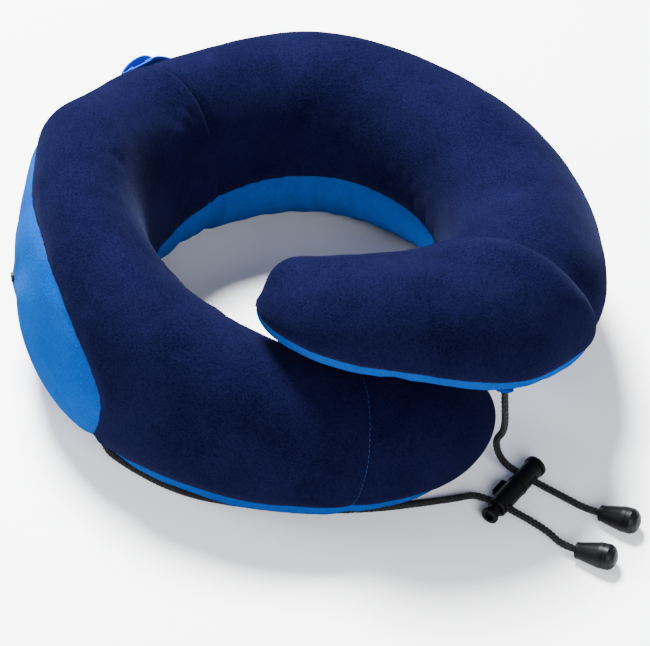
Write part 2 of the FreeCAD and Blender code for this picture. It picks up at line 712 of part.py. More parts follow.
KNOT_FACE = dim("end_cavity_from") + 0.6


def cord_end(side, spot, yaw, pitch):
    """Cone, cap and knot at one end of the draw cord, and where the cord meets the knot."""
    turn = Rotation(Vector(0, 0, 1), yaw) * Rotation(Vector(0, 1, 0), -pitch)
    place(end_cone("cord_end_cone_" + side), *spot, turn)
    place(end_cap("cord_end_cap_" + side), *spot, turn)
    end_knot("cord_knot_" + side, Vector(*spot), turn)
    return Vector(*spot) + turn.multVec(Vector(KNOT_FACE, 0, 0))


left_face = cord_end("left", (121, -150.4, 4.5), -23.1, 8.3)
right_face = cord_end("right", (134.4, -127.2, 4.5), -27, 8.3)
cord("draw_cord_left", [Vector(*spot) for spot in LEFT_ROUTE] + [left_face])
cord("draw_cord_right", [Vector(*spot) for spot in RIGHT_ROUTE] + [right_face])


# ---------------------------------------------------------------- checks and STEP files
NODES = [
    "foam_core", "foam_raised_arm", "cover_low_tip", "cover_front", "cover_back",
    "cover_raised_arm", "panel_side", "panel_underside", "panel_raised_underside",
    "zip_tape_upper", "zip_tape_lower", "zip_coil", "zip_stop_front", "zip_stop_back",
    "zip_slider", "zip_pull", "hang_loop", "cord_exit",
    "draw_cord_left", "draw_cord_right", "lock_barrel", "lock_plunger", "lock_spring",
    "cord_end_cone_left", "cord_end_cone_right", "cord_end_cap_left", "cord_end_cap_right",
    "cord_knot_left", "cord_knot_right",
]

doc.recompute()
for thing in doc.Objects:
    if "Invalid" in thing.State or "Error" in thing.State:
        raise RuntimeError("%s is %s" % (thing.Label, thing.State))
    shape = getattr(thing, "Shape", None)
    if shape is not None and not thing.isDerivedFrom("Sketcher::SketchObject"):
        if thing.isDerivedFrom("Part::Feature") and (shape.isNull() or not shape.isValid()):
            raise RuntimeError(thing.Label + " has no valid shape")

os.makedirs("parts", exist_ok=True)
for label in NODES:
    shape = doc.getObjectsByLabel(label)[0].Shape
    if len(shape.Solids) != 1:
        raise RuntimeError("%s has %d solids" % (label, len(shape.Solids)))
    shape.Solids[0].exportStep("parts/%s.step" % label)
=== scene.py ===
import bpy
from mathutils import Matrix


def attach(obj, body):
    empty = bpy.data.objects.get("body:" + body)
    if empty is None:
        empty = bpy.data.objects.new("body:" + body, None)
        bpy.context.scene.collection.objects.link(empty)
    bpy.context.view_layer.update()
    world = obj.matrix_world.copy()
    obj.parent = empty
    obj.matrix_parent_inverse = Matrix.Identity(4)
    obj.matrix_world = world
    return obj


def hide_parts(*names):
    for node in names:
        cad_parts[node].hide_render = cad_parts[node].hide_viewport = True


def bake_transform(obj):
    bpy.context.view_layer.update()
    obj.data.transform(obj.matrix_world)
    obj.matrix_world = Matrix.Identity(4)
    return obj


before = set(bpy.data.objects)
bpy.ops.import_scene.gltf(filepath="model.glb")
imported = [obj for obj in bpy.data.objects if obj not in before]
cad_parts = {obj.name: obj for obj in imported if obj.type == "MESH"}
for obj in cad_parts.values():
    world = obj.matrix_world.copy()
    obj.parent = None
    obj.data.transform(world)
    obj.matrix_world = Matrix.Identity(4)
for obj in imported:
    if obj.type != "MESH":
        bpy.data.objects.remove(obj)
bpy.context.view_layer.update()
# Foam neck pillow in a two-tone velour cover. Metres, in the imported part's frame: origin at the
# centre of the neck opening on the surface it lies on, +Y to the nape, +X to the climbing side.
import math

import bpy
import numpy as np
from mathutils import Matrix, Vector, noise

MM = 0.001
CLOTH_SCALE = 10


# ---------------------------------------------------------------- camera
def add_camera():
    target = Vector((0.003, -0.0384, 0.045))
    rise = math.radians(43.8)
    data = bpy.data.cameras.new("camera")
    data.lens, data.sensor_width = 123.3, 36
    data.clip_start, data.clip_end = 0.05, 20
    camera = bpy.data.objects.new("camera", data)
    bpy.context.scene.collection.objects.link(camera)
    back = Vector((0, -math.cos(rise), math.sin(rise)))
    camera.location = target + back * 1.1
    camera.rotation_mode = "QUATERNION"
    camera.rotation_quaternion = (-back).to_track_quat("-Z", "Y")
    bpy.context.scene.camera = camera


add_camera()


# ---------------------------------------------------------------- materials
class Nodes:
    """A material's node tree, with short ways to add nodes to it."""

    def __init__(self, name):
        self.material = bpy.data.materials.new(name)
        self.material.use_nodes = True
        self.tree = self.material.node_tree
        self.shader = self.tree.nodes["Principled BSDF"]
        self.object_place = self.add("ShaderNodeTexCoord").outputs["Object"]

    def add(self, kind, inputs=None, **settings):
        node = self.tree.nodes.new(kind)
        for name, value in settings.items():
            setattr(node, name, value)
        for name, value in (inputs or {}).items():
            self.put(node.inputs[name], value)
        return node

    def put(self, socket, value):
        if isinstance(value, bpy.types.NodeSocket):
            self.tree.links.new(value, socket)
        else:
            socket.default_value = value

    def noise(self, scale, detail=2.0, rough=0.5, place=None, stretch=None):
        where = place or self.object_place
        if stretch:
            where = self.add("ShaderNodeMapping", {"Vector": where, "Scale": stretch}).outputs[0]
        inputs = {"Vector": where, "Scale": scale, "Detail": detail, "Roughness": rough}
        return self.add("ShaderNodeTexNoise", inputs).outputs["Fac"]

    def math(self, operation, a, b=0.0, clamp=False):
        node = self.add("ShaderNodeMath", {0: a, 1: b}, operation=operation, use_clamp=clamp)
        return node.outputs[0]

    def spread(self, value, low, high, to_low=0.0, to_high=1.0):
        inputs = {"Value": value, "From Min": low, "From Max": high, "To Min": to_low, "To Max": to_high}
        return self.add("ShaderNodeMapRange", inputs).outputs[0]

    def mix(self, share, a, b):
        node = self.add("ShaderNodeMix", {0: share}, data_type="RGBA")
        self.put(node.inputs[6], a)
        self.put(node.inputs[7], b)
        return node.outputs[2]

    def bump(self, height, distance, strength=1.0, normal=None):
        inputs = {"Height": height, "Distance": distance, "Strength": strength}
        node = self.add("ShaderNodeBump", inputs)
        if normal:
            self.put(node.inputs["Normal"], normal)
        return node.outputs[0]

    def set(self, **sockets):
        for name, value in sockets.items():
            self.put(self.shader.inputs[name.replace("_", " ")], value)
        return self.material


def velour(name, light, dark, sheen, sheen_tint):
    """Short pile: mottled nap, a soft sheen at grazing angles and a fuzzy bump."""
    n = Nodes(name)
    patches = n.spread(n.noise(30, 4, 0.65), 0.36, 0.64)
    nap = n.noise(950, 2, 0.6)
    fine = n.noise(2600, 2, 0.6)
    mottle = n.math("ADD", n.math("MULTIPLY", nap, 0.45), n.math("MULTIPLY", fine, 0.55))
    share = n.spread(mottle, 0.39, 0.61)
    share = n.math("ADD", n.math("MULTIPLY", share, 0.7), n.math("MULTIPLY", patches, 0.3), True)
    pile = n.bump(fine, 0.00025, 0.5)
    pile = n.bump(nap, 0.0005, 0.5, pile)
    return n.set(
        Base_Color=n.mix(share, dark, light), Roughness=0.95, Specular_IOR_Level=0.0,
        Sheen_Weight=sheen, Sheen_Roughness=0.42, Sheen_Tint=sheen_tint, Normal=pile,
    )


NAVY = velour(
    "navy_velour", light=(0.0037, 0.0040, 0.0200, 1), dark=(0.0006, 0.0007, 0.0054, 1),
    sheen=0.028, sheen_tint=(0.35, 0.42, 0.90, 1),
)
BLUE = velour(
    "blue_velour", light=(0.0010, 0.041, 0.205, 1), dark=(0.0001, 0.021, 0.122, 1),
    sheen=0.020, sheen_tint=(0.2, 0.6, 1, 1),
)


def braid_material():
    n = Nodes("braided_cord")
    grain = n.noise(2600, 2, 0.6)
    return n.set(
        Base_Color=n.mix(grain, (0.0004, 0.0004, 0.0006, 1), (0.0040, 0.0040, 0.0050, 1)),
        Roughness=0.5, Specular_IOR_Level=0.22, Normal=n.bump(grain, 0.0002, 0.5),
    )


def plastic_material(name, colour, rough, grain_scale):
    n = Nodes(name)
    grain = n.noise(grain_scale, 3, 0.6)
    worn = n.noise(160, 3, 0.55)
    return n.set(
        Base_Color=colour, Roughness=n.spread(worn, 0.3, 0.7, rough - 0.06, rough + 0.1),
        Specular_IOR_Level=0.09, Normal=n.bump(grain, 0.00006, 0.5),
    )


def webbing_material():
    n = Nodes("ribbed_webbing")
    grain = n.noise(1800, 2, 0.6)
    return n.set(
        Base_Color=n.mix(n.spread(grain, 0.3, 0.7), (0.0004, 0.022, 0.24, 1), (0.0008, 0.055, 0.42, 1)),
        Roughness=0.8, Specular_IOR_Level=0.05, Normal=n.bump(grain, 0.0002, 0.6),
    )


def thread_material(name, colour):
    n = Nodes(name)
    grain = n.noise(4000, 2, 0.6)
    return n.set(
        Base_Color=colour, Roughness=0.8, Specular_IOR_Level=0.0, Normal=n.bump(grain, 0.0001, 0.5),
    )


def tape_material():
    n = Nodes("zip_tape")
    weave = n.add("ShaderNodeTexWave", {"Vector": n.object_place, "Scale": 900, "Distortion": 1.0})
    return n.set(
        Base_Color=(0.0012, 0.0014, 0.0030, 1), Roughness=0.85, Specular_IOR_Level=0.05,
        Normal=n.bump(weave.outputs["Fac"], 0.0002, 0.6),
    )


def foam_material():
    n = Nodes("open_cell_foam")
    cells = n.add("ShaderNodeTexVoronoi", {"Vector": n.object_place, "Scale": 900})
    return n.set(
        Base_Color=(0.80, 0.76, 0.62, 1), Roughness=0.95,
        Normal=n.bump(cells.outputs["Distance"], 0.0005, 0.7),
    )


BRAID = braid_material()
PLASTIC = plastic_material("black_plastic", (0.0016, 0.0016, 0.0022, 1), 0.42, 900)
METAL = plastic_material("black_enamel", (0.0018, 0.0018, 0.0022, 1), 0.34, 700)
STEEL = plastic_material("spring_wire", (0.55, 0.55, 0.56, 1), 0.3, 2000)
WEBBING = webbing_material()
THREAD = thread_material("stitch_thread", (0.016, 0.026, 0.11, 1))
BLUE_THREAD = thread_material("blue_thread", (0.0004, 0.022, 0.15, 1))
TAPE = tape_material()
FOAM = foam_material()


# ---------------------------------------------------------------- the ring's shape
# Station angle, then radius at the neck side, at the outside and at the crest, height of
# the widest point on the neck side and outside, top and bottom, in millimetres.
STATIONS = np.array([
    (-140, 59, 142, 100, 29, 27, 56, 0),
    (-115, 64, 140, 102, 34, 30, 65, 0),
    (-90, 70, 140, 104, 40, 32, 77, 0),
    (-55, 74, 143, 108, 50, 36, 98, 0),
    (-20, 82, 151, 116, 60, 42, 116, 0),
    (10, 87, 152, 119, 62, 43, 120, 0),
    (40, 84, 152, 118, 57, 42, 110, 0),
    (62, 78, 150, 113, 54, 43, 105, 0),
    (90, 73, 153, 112, 52, 46, 104, 0),
    (120, 67, 147, 107, 50, 46, 97, 0),
    (145, 64, 143, 103, 50, 46, 96, 3),
    (180, 62, 143, 102, 50, 48, 98, 12),
    (225, 61, 146, 102, 80, 78, 115, 53),
    (255, 58, 126, 92, 100, 98, 126, 79),
    (291, 62, 104, 84, 98, 97, 113, 82),
], float)
FIRST, LAST = STATIONS[0, 0], STATIONS[-1, 0]
TIP_LENGTHS = (64, 54)

# The outer seam between navy and blue as (station angle, height), and the neck-side one.
OUTER_SEAM = [
    (-143, 8), (-125, 9), (-116, 13), (-108, 15.5), (-90, 17), (-60, 18), (-50, 17.5),
    (-44.5, 14.5), (-40.5, 10.5), (-36.2, 6), (-38, 14), (-42, 28), (-44.5, 46), (-44, 54),
    (-42.4, 61), (-39, 72.5), (-33.8, 82), (-29.5, 89), (-24, 95), (-18, 100), (-10, 101.5),
    (0, 99), (10, 95.5), (20, 93.5), (35, 91), (60, 86.5), (95, 76), (125, 52), (145, 18),
    (155, 15), (165, 20),
    (180, 31), (192, 43), (204, 53.5), (216, 62), (228, 70.6), (240, 81), (252, 90.6),
    (264, 94.7), (280, 96.2), (294, 96.7),
]
NECK_SEAM = [
    (-143, 10), (-90, 12), (-20, 16), (10, 20), (23, 25), (41, 33), (51, 38), (60, 42),
    (80, 44), (120, 44), (150, 43), (180, 34), (225, 62), (255, 84), (294, 92),
]
# The two seams across the ring, as (turn, station angle).
BACK_SEAM = [(60, 45.5), (83, 46.5), (107, 48.2), (132, 49.3), (156, 49.1), (192, 49.9), (215, 50)]
TIP_SEAM = [
    (-35, -96), (-14.5, -97.1), (23, -99.8), (52.5, -101.1), (72.5, -101.8), (120, -102),
    (200, -101),
]
# The zip's slot: the station angles of its ends, its height and half its width.
ZIP_FROM, ZIP_TO, ZIP_HEIGHT, ZIP_HALF = -5.0, 54.5, 47.0, 1.9
# The fold where the raised arm bulges out of the climbing ring, as (turn, station).
ARM_FOLD = [
    (-60, 194), (-11, 201), (16, 204.5), (38, 207.5), (57, 208.7), (77, 209.4), (95, 210.3),
    (115, 213), (146, 214), (250, 214),
]


def smooth_rows(rows, where, column):
    """Smooth curve through one column of the rows, at each of many angles."""
    known, values = rows[:, 0], rows[:, column]
    slopes = np.empty_like(values)
    for k in range(len(known)):
        low, high = max(k - 1, 0), min(k + 1, len(known) - 1)
        slopes[k] = (values[high] - values[low]) / (known[high] - known[low])
    span = np.clip(np.searchsorted(known, where, side="right") - 1, 0, len(known) - 2)
    wide = known[span + 1] - known[span]
    share = (where - known[span]) / wide
    step = share * share * (3 - 2 * share)
    return (
        values[span] * (1 - step) + values[span + 1] * step
        + slopes[span] * wide * share * (1 - share) ** 2
        - slopes[span + 1] * wide * share ** 2 * (1 - share)
    )


def section(angle):
    """Section sizes at many angles, closed to a dome near each tip."""
    inner, outer, crest, neck_mid, out_mid, top, bottom = [
        smooth_rows(STATIONS, angle, column) for column in range(1, 8)
    ]
    closing = np.ones_like(angle)
    for tip, length in zip((FIRST, LAST), TIP_LENGTHS):
        way = np.radians(np.abs(angle - tip)) * (inner + outer) / 2
        closing = np.minimum(closing, np.sqrt(np.clip(1 - (1 - np.minimum(way / length, 1)) ** 2, 0, 1)))
    closing = np.maximum(closing, 0.02)
    middle = (top + bottom) / 2
    heights = [middle + (each - middle) * closing for each in (neck_mid, out_mid, top, bottom)]
    return crest + (inner - crest) * closing, crest + (outer - crest) * closing, crest, *heights, middle


def ring_points(angle, turn):
    """Points on the ring: turn 0 is outermost, 90 degrees the crest, 180 the neck side."""
    inner, outer, crest, neck_mid, out_mid, top, bottom, middle = section(angle)
    across, up = np.cos(turn), np.sin(turn)
    centre = np.where(across >= 0, out_mid, neck_mid)
    reach = np.where(across >= 0, outer - crest, crest - inner)
    rise = np.where(up >= 0, top - centre, centre - bottom)
    power = np.where(up >= 0, 1.0, 2.0 / 2.3)
    radius = crest + reach * np.sign(across) * np.abs(across) ** power
    height = np.maximum(centre + rise * np.sign(up) * np.abs(up) ** power - 0.4, 0)
    share = np.clip(np.abs(angle - 185) / 60, 0, 1)
    lean = (height - middle) * np.tan(np.radians(16 * (0.5 + 0.5 * np.cos(np.pi * share))))
    bearing = np.radians(180 - angle)
    return np.stack([
        radius * np.cos(bearing) - lean * np.sin(bearing),
        radius * np.sin(bearing) + lean * np.cos(bearing),
        height,
    ], -1)


def turn_at(angle, height, outside):
    """The turn at which the section passes a height, outside or on the neck side."""
    neck_mid, out_mid, top, bottom = section(angle)[3:7]
    centre = out_mid if outside else neck_mid
    height = height + 0.4
    share = (height - centre) / np.where(height >= centre, top - centre, centre - bottom)
    share = np.clip(share, -0.985, 0.985)
    share = np.where(share < 0, -np.abs(share) ** 1.15, share)
    turn = np.arcsin(share)
    return turn if outside else np.pi - turn


def dense(points, step):
    """A broken line's points, filled in evenly."""
    rows = [points[0]]
    for a, b in zip(points, points[1:]):
        count = max(1, int(math.ceil(math.dist(a, b) / step)))
        rows += [tuple(p + (q - p) * k / count for p, q in zip(a, b)) for k in range(1, count + 1)]
    return np.array(rows)


def rounded(points):
    """Corner-cut copy of a broken line, for a softer seam."""
    for _ in range(2):
        softer = [points[0]]
        for a, b in zip(points, points[1:]):
            softer.append(tuple(p * 0.75 + q * 0.25 for p, q in zip(a, b)))
            softer.append(tuple(p * 0.25 + q * 0.75 for p, q in zip(a, b)))
        points = softer + [points[-1]]
    return points


def seam_points(points, outside):
    rows = dense(rounded(points), 0.7)
    rows = rows[(rows[:, 0] > FIRST) & (rows[:, 0] < LAST)]
    return rows, ring_points(rows[:, 0], turn_at(rows[:, 0], rows[:, 1], outside))


def nearest(points, line):
    """Distance of each point from the nearest of a line's points."""
    out = np.empty(len(points))
    for start in range(0, len(points), 4000):
        block = points[start:start + 4000]
        gap = (block ** 2).sum(1)[:, None] + (line ** 2).sum(1)[None] - 2 * block @ line.T
        out[start:start + 4000] = np.sqrt(np.maximum(gap.min(1), 0))
    return out


def inside_polygon(x, y, polygon):
    inside = np.zeros(len(x), bool)
    for (x0, y0), (x1, y1) in zip(polygon, polygon[1:] + polygon[:1]):
        crosses = (y0 > y) != (y1 > y)
        at = x0 + (y - y0) * (x1 - x0) / ((y1 - y0) or 1e-9)
        inside ^= crosses & (x < at)
    return inside


# ---------------------------------------------------------------- the cover's grid
def station_list():
    """Station angles: even, closer at the cross seams and at the tips."""
    angles = list(np.arange(-120, 272, 0.75))
    for tip, toward, reach in ((FIRST, 1, 20), (LAST, -1, 19)):
        angles += [tip + toward * reach * (1 - math.cos(k / 40 * math.pi / 2)) for k in range(41)]
    for middle in (-100, 48.6):
        angles += list(np.arange(middle - 5, middle + 5, 0.3))
    angles = np.unique(np.round(angles, 3))
    keep = [angles[0]]
    for angle in angles[1:-1]:
        if angle - keep[-1] > 0.12 or min(angle - FIRST, LAST - angle) < 3:
            keep.append(angle)
    return np.array(keep + [angles[-1]])


ANGLES = station_list()
TURN_COUNT = 240
TURNS = -math.pi / 2 + 2 * math.pi * np.arange(TURN_COUNT) / TURN_COUNT
GRID_ANGLE, GRID_TURN = [g.ravel() for g in np.meshgrid(ANGLES, TURNS, indexing="ij")]
BASE = ring_points(GRID_ANGLE, GRID_TURN)


def fields(angle, turn, points):
    """Signed distances, in millimetres, to the seams and to the zip's slot."""
    outside = np.cos(turn) > 0
    rows, line = seam_points(OUTER_SEAM, True)
    colour = nearest(points, line)
    polygon = [(FIRST - 5, -20)] + [tuple(row) for row in rounded(OUTER_SEAM)] + [(LAST + 5, -20)]
    below = inside_polygon(angle, points[:, 2], polygon)
    neck_rows, neck_line = seam_points(NECK_SEAM, False)
    neck = nearest(points, neck_line)
    under = points[:, 2] < np.interp(angle, neck_rows[:, 0], neck_rows[:, 1])
    colour = np.where(outside, np.where(below, -colour, colour), np.where(under, -neck, neck))
    degrees = np.degrees(turn)
    radius = np.hypot(points[:, 0], points[:, 1])
    back = (angle - np.interp(degrees, *zip(*BACK_SEAM))) * radius * math.pi / 180
    tip = (angle - np.interp(degrees, *zip(*TIP_SEAM))) * radius * math.pi / 180
    fold = (angle - np.interp(degrees, *zip(*ARM_FOLD))) * radius * math.pi / 180
    way = np.clip(np.minimum(angle - ZIP_FROM, ZIP_TO - angle) / 1.2, -1, 1)
    slot = np.where(outside, np.abs(points[:, 2] - ZIP_HEIGHT) - ZIP_HALF * way, 50)
    return {"colour": colour, "back": back, "tip": tip, "slot": slot, "fold": fold}


FIELDS = fields(GRID_ANGLE, GRID_TURN, BASE)


def grid_normals(points):
    """Outward normals of the grid's points."""
    shaped = points.reshape(len(ANGLES), TURN_COUNT, 3)
    along = np.gradient(shaped, axis=0)
    across = np.roll(shaped, -1, 1) - np.roll(shaped, 1, 1)
    normal = np.cross(across, along).reshape(-1, 3)
    return normal / np.maximum(np.linalg.norm(normal, axis=1), 1e-9)[:, None]


def rolling(points, size, seed):
    """Soft noise at many points, from about -1 to 1."""
    offset = Vector((seed * 7.1, seed * 3.7, seed * 5.3))
    return np.array([noise.noise(Vector(p) / size + offset) for p in points])


def bell(distance, width):
    return np.exp(-(distance / width) ** 2)


def displacement():
    """How far the cover stands off the even ring, in millimetres."""
    colour, back, tip = (np.abs(FIELDS[name]) for name in ("colour", "back", "tip"))
    outside = np.cos(GRID_TURN) > 0
    height = BASE[:, 2]
    navy = FIELDS["colour"] > 0
    # Valleys along the seams; the front panel stands a little proud of the back seam.
    out = -1.0 * bell(colour, 2.4) - 0.6 * bell(colour, 6)
    out += np.where(navy, -1.1 * bell(back, 1.4) - 0.3 * bell(back, 7), -1.0 * bell(back, 4))
    out += np.where(navy & (FIELDS["back"] < 0), 1.4 * np.exp(-back / 11), 0)
    out += np.where(navy, -0.8 * bell(tip, 1.2) - 0.5 * bell(tip, 6), -0.4 * bell(tip, 4))
    # Puckers by the seams, slow unevenness of the foam, and wrinkles of the band at the neck.
    seams = np.minimum(np.minimum(colour, back), tip)
    along = np.radians(GRID_ANGLE) * 120
    out += 0.08 * np.exp(-seams / 6) * rolling(BASE, 3.5, 1)
    out += 0.55 * rolling(BASE, 38, 2) + 0.28 * rolling(BASE, 15, 3) + 0.08 * rolling(BASE, 6, 4)
    band = (~outside) & (~navy) & (GRID_ANGLE > 20) & (GRID_ANGLE < 190)
    fold = np.sin(along / 3.4 + 2.2 * rolling(BASE, 30, 5)) * (0.5 + 0.8 * rolling(BASE, 42, 6))
    out += np.where(band, 0.6 * fold * np.clip(colour / 5, 0, 1), 0)
    # Lips above and below the zip.
    way = np.clip(np.minimum(GRID_ANGLE - ZIP_FROM + 2, ZIP_TO + 2 - GRID_ANGLE) / 4, 0, 1)
    beside = np.abs(height - ZIP_HEIGHT)
    lips = np.where(height > ZIP_HEIGHT, 0.5, 2.1)
    out += np.where(outside, way * lips * np.clip((22 - beside) / 18, 0, 1) ** 2.5, 0)
    # Drag lines that fan out from the zip's front end.
    ahead, below = (ZIP_FROM - GRID_ANGLE) * 2.6, ZIP_HEIGHT - height
    reach, spread = np.hypot(ahead, below), np.arctan2(below, ahead)
    drag = np.sin(8.5 * spread + 0.9 * rolling(BASE, 24, 7)) * bell(reach - 32, 26)
    drag *= np.clip(reach / 14, 0, 1)
    out += np.where(outside & (~navy) & (ahead > -12), 0.5 * drag * np.clip(colour / 8, 0, 1), 0)
    fold, degrees = FIELDS["fold"], np.degrees(GRID_TURN)
    # The full shoulder beside the hang loop, and the full top of the raised arm.
    out += 5.8 * bell(GRID_ANGLE - 18, 10) * bell(degrees - 54, 32)
    arm_top = 7.6 * bell(GRID_ANGLE - 280, 10) * (1 - bell(GRID_ANGLE - LAST, 3.2))
    out += (arm_top - 2.4 * bell(GRID_ANGLE - 252, 11)) * bell(degrees - 137, 30)
    # The fold where the arm bends down, with the bulge beyond it.
    strength = np.interp(
        degrees, [-25, -5, 15, 35, 60, 100, 140, 170], [0, 0.2, 0.55, 1, 1, 0.7, 0.3, 0]
    )
    out += strength * np.where(fold < 0, -7.2 * bell(fold, 14), -7.2 * bell(fold, 4.5))
    out += strength * 4.6 * bell(fold - 14, 11)
    grounded = np.clip((height - 0.5) / 5, 0, 1)
    return out * grounded


def mesh_object(name, points, faces, material, smooth=True):
    mesh = bpy.data.meshes.new(name)
    mesh.from_pydata([tuple(p) for p in points], [], faces)
    mesh.materials.append(material)
    mesh.validate()
    if smooth:
        mesh.polygons.foreach_set("use_smooth", [True] * len(mesh.polygons))
    obj = bpy.data.objects.new(name, mesh)
    bpy.context.scene.collection.objects.link(obj)
    return obj


def ring_faces(rings, count):
    """Faces between rings of points laid one after another, with the two ends closed."""
    faces = []
    for i in range(rings - 1):
        for j in range(count):
            k = (j + 1) % count
            faces.append((i * count + j, i * count + k, (i + 1) * count + k, (i + 1) * count + j))
    last = (rings - 1) * count
    return faces + [tuple(range(count - 1, -1, -1)), tuple(last + j for j in range(count))]


def drape():
    """How far a cloth with air behind it stands off the even ring, held at its seams and where it
    rests: a cloth simulation on a coarse copy of the ring, larger than life for the solver's sake."""
    rows = np.linspace(0, len(ANGLES) - 1, 150).round().astype(int)
    columns = np.arange(0, TURN_COUNT, 5)
    numbers = (rows[:, None] * TURN_COUNT + columns[None, :]).ravel()
    count, wide = len(rows), len(columns)
    points, normals = BASE[numbers], NORMALS[numbers]
    cloth = mesh_object("drape", points * MM * CLOTH_SCALE, ring_faces(count, wide), NAVY)
    seams = np.min([np.abs(FIELDS[name][numbers]) for name in ("colour", "back", "tip")], axis=0)
    resting = points[:, 2] < 1.5
    held = cloth.vertex_groups.new(name="held")
    for number in np.flatnonzero((seams < 3.5) | resting):
        held.add([int(number)], 1.0, "REPLACE")
    modifier = cloth.modifiers.new("Cloth", "CLOTH")
    settings = modifier.settings
    settings.quality, settings.mass = 6, 0.3
    settings.tension_stiffness = settings.compression_stiffness = 12
    settings.shear_stiffness, settings.bending_stiffness = 6, 0.6
    settings.vertex_group_mass = "held"
    settings.shrink_min = -0.008
    settings.use_pressure, settings.uniform_pressure_force = True, 4.0
    settings.effector_weights.gravity = 0
    modifier.collision_settings.use_collision = False
    scene = bpy.context.scene
    for frame_number in range(1, 21):
        scene.frame_set(frame_number)
    settled = cloth.evaluated_get(bpy.context.evaluated_depsgraph_get())
    moved = np.array([tuple(v.co) for v in settled.data.vertices]) / MM / CLOTH_SCALE
    scene.frame_set(1)
    mesh = cloth.data
    bpy.data.objects.remove(cloth)
    bpy.data.meshes.remove(mesh)
    rise = np.clip(((moved - points) * normals).sum(1), -4, 6).reshape(count, wide)
    rise = np.clip(rise - np.median(rise), -0.5, 0.8)
    rise = np.column_stack([rise, rise[:, 0]])
    along = np.array([np.interp(np.arange(len(ANGLES)), rows, rise[:, j]) for j in range(wide + 1)])
    places = np.append(columns, TURN_COUNT)
    fine = np.array([np.interp(np.arange(TURN_COUNT), places, along[:, i]) for i in range(len(ANGLES))])
    return fine.ravel() * np.clip((BASE[:, 2] - 0.5) / 5, 0, 1)


NORMALS = grid_normals(BASE)
COVER = BASE + NORMALS * displacement()[:, None]
COVER += NORMALS * drape()[:, None]
COVER[:, 2] = np.maximum(COVER[:, 2], 0.05)
COVER_NORMALS = grid_normals(COVER)


def clip(rows, faces, column, sign):
    """Keep the part of the faces where a column of the rows has that sign."""
    values = rows[:, column] * sign
    fresh, made, kept = [], {}, []
    inside = values >= 0

    def cross(a, b):
        key = (min(a, b), max(a, b))
        if key not in made:
            share = values[a] / (values[a] - values[b])
            made[key] = len(rows) + len(fresh)
            fresh.append(rows[a] * (1 - share) + rows[b] * share)
        return made[key]

    for face in faces:
        count = sum(1 for v in face if inside[v])
        if count == len(face):
            kept.append(face)
        elif count:
            corners = []
            for a, b in zip(face, face[1:] + face[:1]):
                if inside[a]:
                    corners.append(a)
                if inside[a] != inside[b]:
                    corners.append(cross(a, b))
            if len(corners) > 2:
                kept.append(tuple(corners))
    rows = np.vstack([rows, np.array(fresh)]) if fresh else rows
    return rows, kept


FIELD_NAMES = ["colour", "back", "tip", "slot"]
ROWS = np.hstack([COVER, COVER_NORMALS] + [FIELDS[name][:, None] for name in FIELD_NAMES])
FACES = ring_faces(len(ANGLES), TURN_COUNT)
TUCK = 2.2


def panel(name, material, *cuts):
    """One sewn panel: the grid's faces between seams, with its raw edges turned in."""
    rows, faces = ROWS, FACES
    for field, sign in cuts:
        rows, faces = clip(rows, faces, 6 + FIELD_NAMES.index(field), sign)
    used = sorted({v for face in faces for v in face})
    number = {v: k for k, v in enumerate(used)}
    faces = [tuple(number[v] for v in face) for face in faces]
    rows = rows[used]
    edges = {}
    for face in faces:
        for a, b in zip(face, face[1:] + face[:1]):
            edges[(a, b)] = edges.get((a, b), 0) + 1
    rim = [(a, b) for a, b in edges if (b, a) not in edges]
    points = list(rows[:, :3])
    tucked = {}
    for a, b in rim:
        for v in (a, b):
            if v not in tucked:
                tucked[v] = len(points)
                points.append(rows[v, :3] - rows[v, 3:6] / np.linalg.norm(rows[v, 3:6]) * TUCK)
    faces += [(b, a, tucked[a], tucked[b]) for a, b in rim]
    return mesh_object(name, np.array(points) * MM, faces, material)


NAVY_TIP = panel("cover_navy_tip", NAVY, ("colour", 1), ("tip", -1))
NAVY_FRONT = panel("cover_navy_front", NAVY, ("colour", 1), ("tip", 1), ("back", -1))
NAVY_BACK = panel("cover_navy_back", NAVY, ("colour", 1), ("back", 1))
BLUE_MAIN = panel("cover_blue_main", BLUE, ("colour", -1), ("back", -1), ("slot", 1))
BLUE_BACK = panel("cover_blue_back", BLUE, ("colour", -1), ("back", 1), ("slot", 1))
for piece, body in ((NAVY_TIP, "pillow"), (NAVY_FRONT, "pillow"), (BLUE_MAIN, "pillow")):
    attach(piece, body)
for piece in (NAVY_BACK, BLUE_BACK):
    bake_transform(piece)
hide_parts("cover_low_tip")
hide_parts("cover_front", "foam_core")
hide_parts("cover_back", "cover_raised_arm", "foam_raised_arm")
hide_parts("panel_side", "panel_underside")
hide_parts("panel_raised_underside")


# ---------------------------------------------------------------- cords, webbing and thread
def on_cover(angle, turn):
    """The cover's point and normal at a station angle and a turn in radians."""
    row = np.clip(np.interp(angle, ANGLES, np.arange(len(ANGLES))), 0, len(ANGLES) - 1.001)
    column = ((turn + math.pi / 2) / (2 * math.pi) * TURN_COUNT) % TURN_COUNT
    i, j = int(row), int(column)
    a, b = row - i, column - j
    corners = [(i, j, (1 - a) * (1 - b)), (i, j + 1, (1 - a) * b)]
    corners += [(i + 1, j, a * (1 - b)), (i + 1, j + 1, a * b)]
    numbers = [(p * TURN_COUNT + q % TURN_COUNT, share) for p, q, share in corners]
    point = sum(COVER[n] * share for n, share in numbers)
    normal = sum(COVER_NORMALS[n] * share for n, share in numbers)
    return point, normal / np.linalg.norm(normal)


def resampled(line, step):
    """Points evenly spaced along a line."""
    line = np.asarray(line, float)
    ways = np.concatenate([[0], np.cumsum(np.linalg.norm(np.diff(line, axis=0), axis=1))])
    places = np.linspace(0, ways[-1], max(2, int(round(ways[-1] / step)) + 1))
    return np.stack([np.interp(places, ways, line[:, k]) for k in range(3)], -1), places


